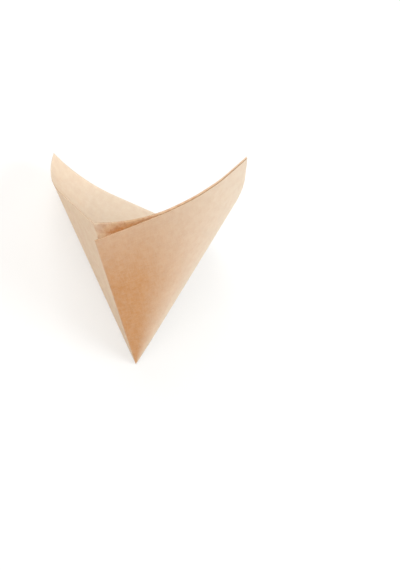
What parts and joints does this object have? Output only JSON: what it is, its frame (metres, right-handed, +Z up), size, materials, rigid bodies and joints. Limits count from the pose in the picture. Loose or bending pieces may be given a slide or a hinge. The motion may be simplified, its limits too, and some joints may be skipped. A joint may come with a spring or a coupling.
{
  "type": "paper coffee filter",
  "caption": "Square sheet of unbleached filter paper folded into quarters and opened into a pointed cone, with a single layer on one side and a folded flap on the other.",
  "frame": {"origin": "centre of the bounding box in X and Y, at the floor that the cone lies on", "axes": "+Y runs along the back crease from the pointed tip to the mouth, +Z is up and square to the flat of the single layer that the filter lies on, and +X points to the folded side"},
  "size_m": [0.1738, 0.1576, 0.1486],
  "materials": {
    "filter_paper": "matte unbleached crepe paper"
  },
  "bodies": {
    "root": {"filter": "filter_paper"}
  },
  "joints": []
}
